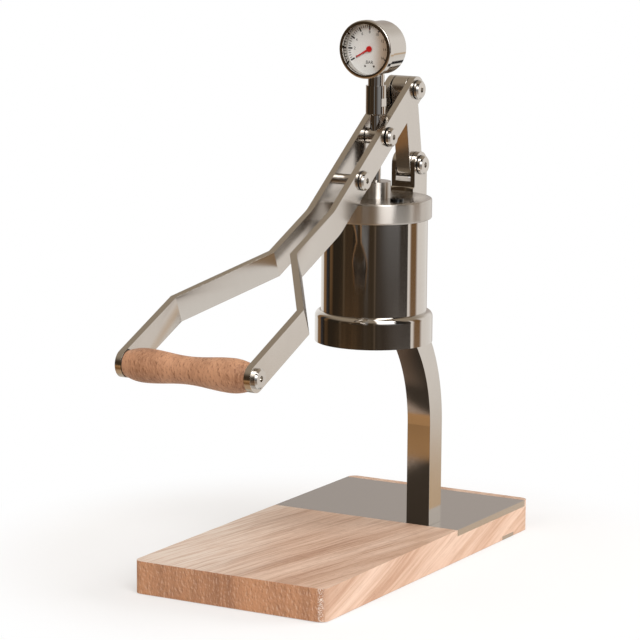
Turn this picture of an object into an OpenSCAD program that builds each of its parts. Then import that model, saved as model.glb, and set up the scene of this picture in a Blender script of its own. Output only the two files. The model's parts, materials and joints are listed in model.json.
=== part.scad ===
// Manual lever espresso maker: a slab of wood, a bent square post, a boiler with
// a lever-driven piston inside it, and a pressure gauge that rides on the piston rod.
// Millimetres. The front, where the user stands, faces -Y and +Z is up.
// The origin is the middle of the board's underside.

/* [Board] */
// Width of the wooden board
board_w = 165; // [150:1:200]
// Length of the wooden board, front to back
board_l = 337; // [320:1:400]
// Thickness of the wooden board
board_t = 25; // [18:1:40]
// Corner radius of the board in plan
board_corner_r = 7; // [2:1:15]
// Thickness of the steel plate let into the board
plate_t = 5; // [4:0.5:8]
// Length of the plate, front to back
plate_l = 119; // [100:1:130]
// Wood left behind the plate
plate_lip = 7.8; // [5:0.1:15]
// How far the machine stands to the right of the board's centre line
machine_x = 47; // [0:1:50]
// Width of the flat bar let into the board's underside
tie_w = 20; // [12:1:24]
// Thickness of that bar
tie_t = 3; // [2:0.5:5]

/* [Post] */
// Side of the square post
bar = 20; // [18:0.5:24]
// Straight length of the post above the plate
foot_h = 80; // [60:1:90]
// Centre-line radius of the lower bend
lower_bend_r = 115; // [90:1:120]
// Angle that the post leans at where its two bends meet
lean = 37; // [34:1:39]

/* [Boiler] */
// From the front of the post's foot to the boiler's axis
boiler_reach = 75.5; // [74:0.5:85]
// Free height under the group ring for a cup and a filter holder
cup_h = 159.5; // [158:0.5:190]
// How far the group ring stands out beyond the tube
ring_lip = 4.5; // [3:0.25:7]
// Height of the group ring
ring_h = 23.5; // [22:0.5:30]
// Outside diameter of the boiler's tube
body_d = 80; // [76:0.5:82]
// Wall of the boiler's tube
body_wall = 2; // [1.5:0.1:3]
// Height of the boiler's tube that shows
body_h = 70; // [70:0.5:90]
// How far the lid stands out beyond the tube
lid_lip = 3; // [2.5:0.1:4]
// Thickness of the lid
lid_t = 15.5; // [13:0.5:20]
// Depth that the lid's skirt reaches down over the tube
lid_cover = 7; // [4:0.5:9]
// Diameter of the rod guide on the lid
guide_d = 24; // [20:0.5:28]
// Height of the rod guide above the lid
guide_h = 12.2; // [8:0.2:14]
// Diameter of the filling plug's head
plug_d = 10; // [8:0.5:12]

/* [Group] */
// Bore of the brewing cylinder
brew_d = 50; // [46:0.5:52]
// Wall of the brewing cylinder
brew_wall = 3; // [2:0.5:4]
// How much wider, on each side, the bore is that takes a filter holder's rim
holder_rim = 6.5; // [5.5:0.25:8]
// How far the filter holder's lugs reach out beyond its rim
lug_reach = 4.5; // [3.5:0.25:6]
// Thickness of the ledge that the lugs turn over
ledge_t = 5; // [4:0.5:6]
// Length of the piston
piston_l = 18; // [14:0.5:18]
// Section of the piston's seals
seal_d = 3; // [2:0.25:3.5]

/* [Linkage] */
// Diameter of the piston rod
rod_d = 8.5; // [8:0.1:9]
// Height of the crosshead's axis above the lid, with the lever down
crosshead_h = 46; // [45:0.5:52]
// Diameter of the crosshead's barrel
crosshead_d = 12; // [11:0.5:13]
// Height of the fork's pin above the lid
fork_pin_h = 19.3; // [18:0.1:24]
// From the lever's rear pivot to the crosshead
crank_l = 54.5; // [50:0.5:58]
// Thickness of the link
link_t = 12; // [11:0.5:13]
// Diameter of the axles that the lever and the link turn on
axle_d = 8; // [7:0.25:8.5]

/* [Lever] */
// Slope of the arms' rear half below level, with the lever down
rear_pitch = 35.5; // [30:0.5:36]
// Slope of the arms' front half
front_pitch = 23.4; // [20:0.2:28]
// Height of each arm's flat bar
arm_w = 20; // [18:0.5:21]
// Thickness of each arm
arm_t = 5; // [4:0.5:6]
// Side clearance between an arm and the link
link_gap = 0.5; // [0.4:0.1:0.8]
// From the crosshead to the spacer between the arms
spacer_at = 49; // [46:0.5:56]
// From the rear pivot to the bend between the two slopes
bend_at = 150; // [140:0.5:170]
// Radius of that bend on the arm's centre line
arm_bend_r = 40; // [25:1:60]
// From the bend to the fold where the arm turns outward
fold_at = 60.5; // [50:0.5:70]
// Length over which the arm splays outward
splay_l = 69.5; // [60:0.5:90]
// From the outer fold to the grip's axis
tail_l = 71.5; // [60:0.5:90]

/* [Grip] */
// Length of the wooden grip
grip_l = 98.5; // [90:0.5:120]
// Diameter of the grip's two swells
grip_swell_d = 24; // [21:0.5:30]
// Diameter of the waist between them
grip_waist_d = 19.4; // [16:0.2:20]
// Diameter of the grip's ends
grip_end_d = 18.4; // [15:0.2:20]
// From the grip's middle to each swell
swell_at = 35; // [28:1:38]

/* [Gauge] */
// Diameter of the gauge's case
case_d = 39.8; // [39:0.2:42]
// How far the bezel stands out beyond the case, on each side
bezel_lip = 1.85; // [1.6:0.05:3]
// Depth of the gauge, front to back
gauge_depth = 28.2; // [27:0.2:34]
// Depth of the bezel ring
bezel_depth = 6; // [5:0.2:8]
// How far the dial lies behind the bezel's front
dial_depth = 7.8; // [7:0.1:9]
// How far the gauge's stem stands in front of its back
stem_inset = 9.7; // [9:0.1:12]
// Diameter of the coupling on top of the rod
coupling_d = 15.5; // [14.5:0.5:17]
// Length of the coupling
coupling_l = 22; // [18:0.5:30]
// Diameter of the neck between coupling and gauge
neck_d = 12.4; // [11:0.2:14]
// Length of the neck that shows
neck_l = 8; // [6:0.5:14]

/* [Fasteners] */
// Diameter of the bright bolt heads
head_d = 14.4; // [12:0.2:15]
// Height of those heads
head_t = 3.2; // [2.5:0.1:5]
// Width across flats of their hexagon sockets
socket_af = 4; // [3:0.5:6]
// Thickness of the black washer under each head
washer_t = 0.7; // [0.5:0.1:1.2]
// Thread of the bright bolts
bolt_thread_d = 4; // [3:0.5:5]
// Thread of the screws in the post, the plate and the saddle
screw_d = 5; // [4:0.5:6]

/* [Hidden] */

$fn = 96;
// Small sizes that everything shares
eps = 0.01;           // overlap that keeps joined solids joined
run_fit = 0.05;       // radial clearance of a part that turns or slides
seat_fit = 0.02;      // radial clearance of a part that is fixed in a hole
soft_gap = 0.1;       // clearance round a seal
side_gap = 0.3;       // clearance beside a part that moves

// Levels and places, worked out from the sizes above
ring_d = body_d + 2 * ring_lip;
lid_d = body_d + 2 * lid_lip;
holder_d = brew_d + 2 * holder_rim;
lug_d = holder_d + 2 * lug_reach;
post_front_y = board_l / 2 - plate_lip - plate_l;
axis_y = post_front_y - boiler_reach;
ring_z = board_t + cup_h;
body_z = ring_z + ring_h;
lid_z = body_z + body_h;
lid_top = lid_z + lid_t;
guide_top = lid_top + guide_h;
upper_front_y = axis_y + ring_d / 2;
bar_mid_y = upper_front_y + bar / 2;

// Pivots in the machine's middle plane, as [y, z]
crosshead_p = [axis_y, lid_top + crosshead_h];
rear_p = crosshead_p + crank_l * [cos(rear_pitch), sin(rear_pitch)];
spacer_p = crosshead_p - spacer_at * [cos(rear_pitch), sin(rear_pitch)];
fork_p = [bar_mid_y, lid_top + fork_pin_h];
link_l = norm(rear_p - fork_p);
link_lean = atan2(fork_p[0] - rear_p[0], rear_p[1] - fork_p[1]);

// Lever
arm_in = link_t / 2 + link_gap;
arm_out = arm_in + arm_t;
grip_in = grip_l / 2 + side_gap / 3;
bend_p = rear_p - bend_at * [cos(rear_pitch), sin(rear_pitch)];
bend_angle = rear_pitch - front_pitch;
bend_run = arm_bend_r * tan(bend_angle / 2);
grip_run = fold_at + splay_l + tail_l;
grip_p = bend_p - grip_run * [cos(front_pitch), sin(front_pitch)];

// Group and piston
web_t = ring_h * 0.42;
web_z = body_z - web_t;
brew_seat = 4;
screen_t = 1;
brew_z = body_z - brew_seat;
brew_top = lid_z - 2;
piston_z = web_z + screen_t + 1;
port_d = 4;
port_count = 8;

// Gauge
bezel_d = case_d + 2 * bezel_lip;
coupling_z = crosshead_p[1] + arm_w * 0.8;
neck_z = coupling_z + coupling_l;
gauge_z = neck_z + neck_l + case_d / 2;
gauge_back = axis_y + stem_inset;
gauge_front = gauge_back - gauge_depth;
case_wall = 1;
lens_t = 1.5;
lip_t = 1.5;
dial_t = 0.8;
dial_front = gauge_front + dial_depth;
dial_zero = 120;
spigot_top = neck_z + neck_l + case_wall + 3;

// Draws its children with x along the boiler's axis plane
module at_axis(z = 0) { translate([machine_x, axis_y, z]) children(); }

// Draws flat shapes in the side view: x runs forward, y runs up, and the
// solid reaches from x1 to x2 across the machine.
module side_plate(x1, x2) {
  translate([machine_x + x2, 0, 0])
    rotate([90, 0, -90])
      linear_extrude(height = x2 - x1) children();
}

// A bar along X, centred on a [y, z] point
module cross_bar(p, d, x1, x2) {
  translate([machine_x + x1, p[0], p[1]])
    rotate([0, 90, 0])
      cylinder(d = d, h = x2 - x1);
}

// Ring with square edges, its lower face at z = 0
module tube(d_out, d_in, h) {
  difference() {
    cylinder(d = d_out, h = h);
    translate([0, 0, -1]) cylinder(d = d_in, h = h + 2);
  }
}

// Bright bolt with a bevelled head. It lies along X: the head's seat is at x and
// the shank runs from there to x_end, toward the left.
module bright_bolt(p, shank_d, x, x_end) {
  bevel = head_t * 0.4;
  difference() {
    union() {
      translate([machine_x + x, p[0], p[1]])
        rotate([0, 90, 0])
          rotate_extrude()
            polygon([
              [0, 0], [head_d / 2, 0], [head_d / 2, head_t - bevel],
              [head_d / 2 - bevel, head_t], [0, head_t]
            ]);
      cross_bar(p, shank_d, x_end, x + eps);
    }
    translate([machine_x + x + head_t * 0.3, p[0], p[1]])
      rotate([0, 90, 0]) cylinder(d = socket_af / cos(30), h = head_t, $fn = 6);
  }
}

// Black washer under a bright bolt's head, from x outward
module bolt_washer(p, hole_d, x) {
  difference() {
    cross_bar(p, head_d - 0.6, x, x + washer_t);
    cross_bar(p, hole_d + 2 * seat_fit, x - 1, x + washer_t + 1);
  }
}

// Countersunk screw, head down at z = 0
module countersunk(d, l) {
  union() {
    difference() {
      cylinder(d1 = 2 * d, d2 = d, h = d / 2);
      translate([0, 0, -eps]) cylinder(d = d * 0.6 / cos(30), h = d * 0.35, $fn = 6);
    }
    translate([0, 0, d / 2 - eps]) cylinder(d = d, h = l - d / 2);
  }
}

// Hole for such a screw
module countersunk_hole(d, l) {
  gap = seat_fit * 4;
  translate([0, 0, -1]) cylinder(d = 2 * d + 2 * gap, h = 1 + gap);
  translate([0, 0, gap - eps]) cylinder(d1 = 2 * d + 2 * gap, d2 = d, h = d / 2 + gap);
  cylinder(d = d + 2 * seat_fit, h = l + 1);
}

// Board and plate
board_rear_y = board_l / 2;
plate_rear_y = post_front_y + plate_l;
tie_y = plate_rear_y - plate_l / 4;
board_screw_l = board_t - plate_t * 0.2;
board_screws_at = [
  for (sx = [-1, 1], y = [post_front_y + plate_l / 8, tie_y]) [sx * board_w * 0.4, y]
];
post_screws_at = [
  for (sy = [-1, 1]) [machine_x, post_front_y + bar / 2 + sy * bar / 4]
];

module board_outline(shrink = 0) {
  r = board_corner_r;
  w = board_w - 2 * shrink;
  l = board_l - 2 * shrink;
  square([w - 2 * r, l], center = true);
  square([w, l - 2 * r], center = true);
  for (sx = [-1, 1], sy = [-1, 1])
    translate([sx * (w / 2 - r), sy * (l / 2 - r)]) circle(r = r);
}

module base_board() {
  color("burlywood")
    difference() {
      linear_extrude(height = board_t) board_outline();
      // Recess that runs out at both sides and takes the plate
      translate([-board_w, post_front_y, board_t - plate_t])
        cube([2 * board_w, plate_l, plate_t + 1]);
      translate([-board_w, tie_y - tie_w / 2, -1])
        cube([2 * board_w, tie_w, tie_t + 1]);
      for (p = board_screws_at)
        translate([p[0], p[1], -1]) {
          cylinder(d = screw_d + 2 * seat_fit, h = board_t + 2);
          if (abs(p[1] - tie_y) > tie_w / 2)
            translate([0, 0, 1]) countersunk_hole(screw_d, board_t);
        }
      // Pockets for the heads of the screws that hold the post
      for (p = post_screws_at)
        translate([p[0], p[1], board_t - plate_t - 2])
          cylinder(d = 2 * screw_d + 2, h = 3);
    }
}

module base_plate() {
  color("silver")
    difference() {
      translate([-board_w / 2, post_front_y, board_t - plate_t])
        cube([board_w, plate_l, plate_t]);
      for (p = board_screws_at)
        translate([p[0], p[1], board_t - plate_t - 1])
          cylinder(d = screw_d + 2 * seat_fit, h = 1 + plate_t * 0.9);
      for (p = post_screws_at)
        translate([p[0], p[1], board_t - plate_t]) countersunk_hole(screw_d, plate_t);
    }
}

module base_tie_bar() {
  color("silver")
    difference() {
      translate([-board_w / 2, tie_y - tie_w / 2, 0]) cube([board_w, tie_w, tie_t]);
      for (p = board_screws_at)
        if (abs(p[1] - tie_y) <= tie_w / 2)
          translate([p[0], p[1], 0]) countersunk_hole(screw_d, tie_t);
    }
}

module board_screws() {
  color("dimgray")
    for (p = board_screws_at)
      translate([p[0], p[1], 0]) countersunk(screw_d, board_screw_l);
}

module post_screws() {
  color("dimgray")
    for (p = post_screws_at)
      translate([p[0], p[1], board_t - plate_t]) countersunk(screw_d, plate_t + 3 * screw_d);
}

// Post: a square bar that stands on the plate, leans forward on one bend, stands
// upright again on a second, and ends in a fork that holds the link's pin. The two
// bends follow each other directly, and their circles cross by a hair.
bend_cross = 0.02;
bend_lap = 0.3;
upper_bend_r = (post_front_y - upper_front_y) / (1 - cos(lean)) - lower_bend_r;
bend_reach = lower_bend_r + upper_bend_r - bend_cross;
lean_z = board_t + foot_h;
lower_c = [lower_bend_r - post_front_y - bar / 2, lean_z];
upper_c = [
  -bar_mid_y - upper_bend_r,
  lean_z + sqrt(pow(bend_reach, 2) - pow(lower_c[0] + bar_mid_y + upper_bend_r, 2))
];
bend_turn = atan2(upper_c[1] - lean_z, lower_c[0] - upper_c[0]);
upright_z = upper_c[1];
slot_w = link_t + 2 * side_gap;
slot_z = fork_p[1] - bar / 2 - 2;
saddle_screw_z = [
  for (k = [0.3, 0.75]) body_z + k * body_h
];

// Flat ring of the bar's width, cut square at both ends: at the level of its
// centre, and across the line between the two centres.
module bend_band(r) {
  intersection() {
    difference() {
      circle(r = r + bar / 2, $fn = 240);
      circle(r = r - bar / 2, $fn = 240);
    }
    translate([-2 * r, 0]) square([2 * r, 2 * r]);
    rotate(-bend_turn) translate([-2 * r, -2 * r]) square([2 * r, 2 * r + bend_lap]);
  }
}

// The post in the side view
module post_outline() {
  translate([-post_front_y - bar, board_t]) square([bar, foot_h]);
  difference() {
    translate(lower_c) bend_band(lower_bend_r);
    translate(upper_c) circle(r = upper_bend_r - bar / 2, $fn = 240);
  }
  difference() {
    translate(upper_c) rotate(180) bend_band(upper_bend_r);
    translate(lower_c) circle(r = lower_bend_r - bar / 2, $fn = 240);
  }
  translate([-bar_mid_y - bar / 2, upright_z]) square([bar, fork_p[1] - upright_z]);
  translate([-fork_p[0], fork_p[1]]) circle(d = bar);
}

module post() {
  color("silver")
    difference() {
      side_plate(-bar / 2, bar / 2) post_outline();
      translate([machine_x - slot_w / 2, upper_front_y - 1, slot_z])
        cube([slot_w, bar + 2, bar * 3]);
      cross_bar(fork_p, axle_d + 2 * seat_fit, -bar, bar);
      for (p = post_screws_at)
        translate([p[0], p[1], board_t - 1])
          cylinder(d = screw_d + 2 * seat_fit, h = 3 * screw_d + 2);
      for (z = saddle_screw_z)
        translate([machine_x, upper_front_y + bar + 1, z])
          rotate([90, 0, 0]) cylinder(d = screw_d + 2 * seat_fit, h = bar + 2);
    }
}

// The link's bolt. Its head is on the right and its end is flush on the left.
module fork_bolt() {
  color("gainsboro") bright_bolt(fork_p, axle_d, bar / 2 + washer_t, -bar / 2);
}

module fork_washer() { color("black") bolt_washer(fork_p, axle_d, bar / 2); }

// Group ring: the casting under the boiler. Its bore takes a filter holder, whose
// lugs pass up through two gaps and turn over the ledge.
shoulder_r = ring_lip;
spigot_h = 4;
lug_top = ring_z + ledge_t + 5.5;
lug_gap_angle = 40;

module lug_gap() {
  reach = lug_d;
  linear_extrude(height = ledge_t + 2)
    intersection() {
      circle(d = lug_d);
      for (a = [0, 180])
        rotate(a)
          polygon([
            [0, 0],
            [reach, -reach * tan(lug_gap_angle / 2)],
            [reach, reach * tan(lug_gap_angle / 2)]
          ]);
    }
}

module group_ring() {
  color("silver")
    at_axis()
      difference() {
        union() {
          // Outer body with a quarter-round shoulder up to the tube
          translate([0, 0, ring_z]) cylinder(d = ring_d, h = ring_h - shoulder_r);
          translate([0, 0, body_z - shoulder_r])
            rotate_extrude()
              intersection() {
                union() {
                  translate([body_d / 2, 0]) circle(r = shoulder_r);
                  square([body_d / 2, shoulder_r]);
                }
                square([ring_d / 2, shoulder_r]);
              }
          translate([0, 0, body_z - eps])
            cylinder(d = body_d - 2 * body_wall - 2 * seat_fit, h = spigot_h);
        }
        translate([0, 0, ring_z - 1]) cylinder(d = holder_d, h = web_z - ring_z + 1);
        translate([0, 0, ring_z + ledge_t])
          cylinder(d = lug_d, h = lug_top - ring_z - ledge_t);
        translate([0, 0, ring_z - 1]) lug_gap();
        translate([0, 0, web_z - 1]) cylinder(d = brew_d, h = ring_h);
        translate([0, 0, brew_z])
          cylinder(d = brew_d + 2 * brew_wall + 2 * seat_fit, h = ring_h);
      }
}

module brew_cylinder() {
  color("gainsboro")
    at_axis()
      difference() {
        translate([0, 0, brew_z]) tube(brew_d + 2 * brew_wall, brew_d, brew_top - brew_z);
        // Ports that let water in above the raised piston
        for (i = [0:port_count - 1])
          translate([0, 0, brew_top - piston_l - 2 * port_d])
            rotate([90, 0, i * 360 / port_count]) cylinder(d = port_d, h = brew_d);
      }
}

screen_d = holder_d - 4;
screen_rings = [[6, 7], [12, 13], [18, 19]];

module shower_screen() {
  color("silver")
    at_axis(web_z - screen_t)
      difference() {
        cylinder(d = screen_d, h = screen_t);
        for (ring = screen_rings, i = [0:ring[0] - 1])
          rotate(i * 360 / ring[0])
            translate([ring[1] * brew_d / 50, 0, -1]) cylinder(d = 2, h = screen_t + 2, $fn = 24);
      }
}

module group_gasket() {
  gasket_t = web_z - screen_t - lug_top;
  color("black")
    at_axis(lug_top)
      tube(holder_d - 2 * seat_fit, brew_d + 2, gasket_t);
}

module boiler_body() {
  color("silver")
    at_axis(body_z)
      tube(body_d, body_d - 2 * body_wall, body_h + lid_cover - side_gap);
}

// Saddle between the tube and the post. Its top is bevelled behind the lid.
saddle_top = lid_top + 3;

module boiler_saddle() {
  reach = upper_front_y - axis_y;
  tall = saddle_top - body_z;
  color("silver")
    difference() {
      at_axis(body_z + side_gap)
        difference() {
          translate([-bar / 2, 0, 0]) cube([bar, reach, tall - side_gap]);
          translate([0, 0, -1]) cylinder(d = body_d + 2 * seat_fit, h = 2 * tall);
          translate([0, 0, body_h - 2 * side_gap]) cylinder(d = lid_d + 2 * side_gap, h = tall);
          translate([-bar, reach - 1, tall - side_gap])
            rotate([45, 0, 0]) translate([0, -bar / 2, 0]) cube([2 * bar, bar / 2, bar / 2]);
        }
      for (z = saddle_screw_z)
        translate([machine_x, upper_front_y + 1, z])
          rotate([90, 0, 0]) cylinder(d = screw_d + 2 * seat_fit, h = bar);
    }
}

module saddle_screws() {
  color("dimgray")
    for (z = saddle_screw_z)
      translate([machine_x, upper_front_y + bar, z])
        rotate([90, 0, 0]) {
          shank = bar + ring_lip - 0.5;
          cylinder(d = screw_d, h = shank);
          translate([0, 0, -screw_d])
            difference() {
              cylinder(d = 1.8 * screw_d, h = screw_d);
              translate([0, 0, -1])
                cylinder(d = 0.8 * screw_d / cos(30), h = 1 + 0.6 * screw_d, $fn = 6);
            }
        }
}

// Lid with a skirt that fits over the tube, the guide for the rod and a plug
lid_round = 1.5;
guide_spigot_d = guide_d * 2 / 3;
plug_at = 27.4;
plug_angle = -25;

module lid() {
  color("silver")
    at_axis()
      difference() {
        translate([0, 0, lid_z])
          rotate_extrude()
            union() {
              square([lid_d / 2 - lid_round, lid_t]);
              translate([0, lid_round]) square([lid_d / 2, lid_t - 2 * lid_round]);
              for (z = [lid_round, lid_t - lid_round])
                translate([lid_d / 2 - lid_round, z]) circle(r = lid_round, $fn = 48);
            }
        translate([0, 0, lid_z - 1])
          cylinder(d = body_d + 2 * seat_fit, h = lid_cover + 1);
        translate([0, 0, lid_z]) cylinder(d = guide_spigot_d + 2 * seat_fit, h = lid_t + 1);
        rotate(plug_angle)
          translate([plug_at, 0, lid_z])
            cylinder(d = plug_d * 0.6 + 2 * seat_fit, h = lid_t + 1);
      }
}

module lid_seal() {
  color("black")
    at_axis(lid_z + lid_cover - side_gap)
      tube(body_d - 2 * seat_fit, body_d - 4 * body_wall, side_gap);
}

module rod_guide() {
  color("silver")
    at_axis()
      difference() {
        union() {
          translate([0, 0, lid_top]) cylinder(d = guide_d, h = guide_h);
          translate([0, 0, lid_z + lid_cover])
            cylinder(d = guide_spigot_d, h = lid_t - lid_cover + eps);
        }
        translate([0, 0, lid_z]) cylinder(d = rod_d + 2 * run_fit, h = lid_t + guide_h + 1);
      }
}

module fill_plug() {
  color("silver")
    at_axis()
      rotate(plug_angle) translate([plug_at, 0, 0])
        difference() {
          union() {
            translate([0, 0, lid_top]) cylinder(d = plug_d, h = plug_d * 0.2);
            translate([0, 0, lid_z + lid_cover])
              cylinder(d = plug_d * 0.6, h = lid_t - lid_cover + eps);
          }
          translate([0, 0, lid_top - 1])
            cylinder(d = plug_d * 0.4 / cos(30), h = plug_d, $fn = 6);
        }
}

// Piston, rod and crosshead: these rise and fall together
piston_d = brew_d - 4 * soft_gap;
seal_levels = [0.25, 0.75];

module piston() {
  color("gainsboro")
    at_axis(piston_z)
      difference() {
        cylinder(d = piston_d, h = piston_l);
        for (k = seal_levels)
          translate([0, 0, k * piston_l])
            rotate_extrude()
              translate([brew_d / 2 - 2 * soft_gap - seal_d, -seal_d / 2]) square(seal_d);
        translate([0, 0, piston_l / 2]) cylinder(d = rod_d + 2 * seat_fit, h = piston_l);
      }
}

module piston_seals() {
  color("black")
    at_axis(piston_z)
      for (k = seal_levels)
        translate([0, 0, k * piston_l])
          rotate_extrude()
            translate([brew_d / 2 - soft_gap - seal_d / 2, 0])
              circle(d = seal_d - 2 * seat_fit, $fn = 32);
}

module piston_rod() {
  z = piston_z + piston_l / 2;
  color("gainsboro") at_axis(z) cylinder(d = rod_d, h = coupling_z + coupling_l / 3 - z);
}

module crosshead() {
  color("gainsboro")
    difference() {
      union() {
        cross_bar(crosshead_p, crosshead_d, -link_t / 2, link_t / 2);
        cross_bar(crosshead_p, axle_d, -arm_out, arm_out + side_gap);
      }
      at_axis(crosshead_p[1] - crosshead_d) cylinder(d = rod_d + 2 * seat_fit, h = 2 * crosshead_d);
      cross_bar(crosshead_p, bolt_thread_d + 2 * seat_fit, link_t / 2, bar);
    }
}

// The bolt in the crosshead's right end holds a washer beside the turning arm
module crosshead_bolt() {
  color("gainsboro")
    bright_bolt(crosshead_p, bolt_thread_d, arm_out + side_gap + washer_t, link_t / 2 + 1);
}

module crosshead_washer() {
  color("black") bolt_washer(crosshead_p, bolt_thread_d, arm_out + side_gap);
}

// Coupling with two wrench flats that face sideways
flat_h = 6;
flat_inset = 0.9;

module gauge_coupling() {
  chamfer = 1;
  color("silver")
    at_axis(coupling_z)
      difference() {
        rotate_extrude()
          polygon([
            [0, 0], [coupling_d / 2 - chamfer, 0], [coupling_d / 2, chamfer],
            [coupling_d / 2, coupling_l], [0, coupling_l]
          ]);
        translate([0, 0, -1]) cylinder(d = rod_d + 2 * seat_fit, h = coupling_l / 3 + 1);
        for (side = [-1, 1])
          translate([side * (coupling_d - flat_inset) - coupling_d / 2, -coupling_d, coupling_l * 0.3])
            cube([coupling_d, 2 * coupling_d, flat_h]);
      }
}

module gauge_neck() {
  color("silver")
    difference() {
      union() {
        at_axis(neck_z) cylinder(d = neck_d, h = neck_l + 3);
        at_axis(neck_z) cylinder(d = neck_d * 0.7, h = spigot_top - neck_z);
      }
      // The neck fits against the round case, and its spigot goes inside
      difference() {
        translate([machine_x, gauge_back + 1, gauge_z])
          rotate([90, 0, 0]) cylinder(d = case_d + 2 * seat_fit, h = gauge_depth + 2);
        at_axis(neck_z) cylinder(d = neck_d * 0.7, h = spigot_top - neck_z + 1);
      }
    }
}

// Draws its children with z pointing forward out of the gauge's face
module at_gauge(y) { translate([machine_x, y, gauge_z]) rotate([90, 0, 0]) children(); }

module gauge_case() {
  // The case stops behind the lens, inside the bezel
  case_l = gauge_depth - lip_t - lens_t;
  color("silver")
    difference() {
      at_gauge(gauge_back)
        difference() {
          cylinder(d = case_d, h = case_l);
          translate([0, 0, case_wall]) cylinder(d = case_d - 2 * case_wall, h = gauge_depth);
        }
      at_axis(gauge_z - case_d) cylinder(d = neck_d * 0.7 + 2 * seat_fit, h = case_d);
    }
}

module gauge_bezel() {
  round_r = 1.2;
  color("silver")
    at_gauge(gauge_front + bezel_depth)
      rotate_extrude()
        difference() {
          union() {
            square([bezel_d / 2 - round_r, bezel_depth]);
            square([bezel_d / 2, bezel_depth - round_r]);
            translate([bezel_d / 2 - round_r, bezel_depth - round_r]) circle(r = round_r, $fn = 48);
          }
          translate([-1, -1]) square([case_d / 2 + seat_fit + 1, bezel_depth - lip_t + 1]);
          translate([-1, -1]) square([case_d / 2 - case_wall + 1, bezel_depth + 2]);
        }
}

module gauge_lens() {
  color([0.8, 0.9, 0.95, 0.3])
    at_gauge(gauge_front + lip_t + lens_t) cylinder(d = case_d, h = lens_t);
}

module gauge_dial() {
  color("white")
    at_gauge(dial_front + dial_t)
      tube(case_d - 2 * case_wall - 2 * seat_fit, pointer_arbor_d + 2 * run_fit, dial_t);
}

// Bent pressure tube and its socket, inside the case
module gauge_tube() {
  tube_r = case_d * 0.32;
  tube_w = 5;
  socket = [10, 8, 7];
  color("goldenrod") {
    translate([machine_x - socket[0] / 2, axis_y - socket[1] / 2, spigot_top]) cube(socket);
    at_gauge(axis_y + tube_w / 2)
      rotate([0, 0, -90])
        rotate_extrude(angle = 250)
          translate([tube_r - 1, 0]) square([2, tube_w]);
  }
}

pointer_arbor_d = 1.6;
pointer_hub_d = 4.4;
pointer_l = case_d * 0.315;

module gauge_pointer() {
  hub_t = 0.9;
  lift = 0.4;
  color("red")
    at_gauge(dial_front)
      union() {
        translate([0, 0, lift]) cylinder(d = pointer_hub_d, h = hub_t);
        translate([0, 0, -dial_t - 2]) cylinder(d = pointer_arbor_d, h = dial_t + 2 + lift + eps);
        rotate([0, 0, 90 + dial_zero])
          translate([0, 0, lift])
            linear_extrude(height = 0.6)
              polygon([[0, -0.75], [pointer_l, -0.35], [pointer_l, 0.35], [0, 0.75]]);
      }
}

// Link: one thick bar from the fork's pin up to the lever's rear pivot
bush_wall = 1;
bush_d = axle_d + 2 * run_fit + 2 * bush_wall;

module link() {
  color("silver")
    difference() {
      translate([0, fork_p[0], fork_p[1]])
        rotate([link_lean, 0, 0])
          side_plate(-link_t / 2, link_t / 2) {
            translate([-bar / 2, 0]) square([bar, link_l]);
            circle(d = bar);
            translate([0, link_l]) circle(d = bar);
          }
      for (p = [fork_p, rear_p]) cross_bar(p, bush_d + 2 * seat_fit, -link_t, link_t);
    }
}

module link_bushes() {
  color("peru")
    for (p = [fork_p, rear_p])
      difference() {
        cross_bar(p, bush_d, -link_t / 2, link_t / 2);
        cross_bar(p, axle_d + 2 * run_fit, -link_t, link_t);
      }
}

module link_axle() {
  color("gainsboro") cross_bar(rear_p, axle_d, -link_t / 2, link_t / 2);
}

// Outline of an arm in the side view. Its origin is the rear pivot, x runs along
// the rear half, and the bend is a row of short edges along two arcs.
bend_steps = 6;

module arm_outline() {
  rear_l = bend_at - bend_run;
  end_p = [
    bend_at + grip_run * cos(bend_angle),
    grip_run * sin(bend_angle)
  ];
  side = arm_w / 2 * [-sin(bend_angle), cos(bend_angle)];
  polygon(concat(
    [[0, -arm_w / 2]],
    [for (i = [0:bend_steps])
      let (a = i / bend_steps * bend_angle, r = arm_bend_r + arm_w / 2)
        [rear_l + r * sin(a), arm_bend_r - r * cos(a)]],
    [end_p - side, end_p + side],
    [for (i = [bend_steps:-1:0])
      let (a = i / bend_steps * bend_angle, r = arm_bend_r - arm_w / 2)
        [rear_l + r * sin(a), arm_bend_r - r * cos(a)]],
    [[0, arm_w / 2]]
  ));
  // The round ends are a hair wider than the bar, so that they cross its edges
  for (p = [[0, 0], end_p]) translate(p) circle(d = arm_w + 2 * eps);
}

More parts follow.
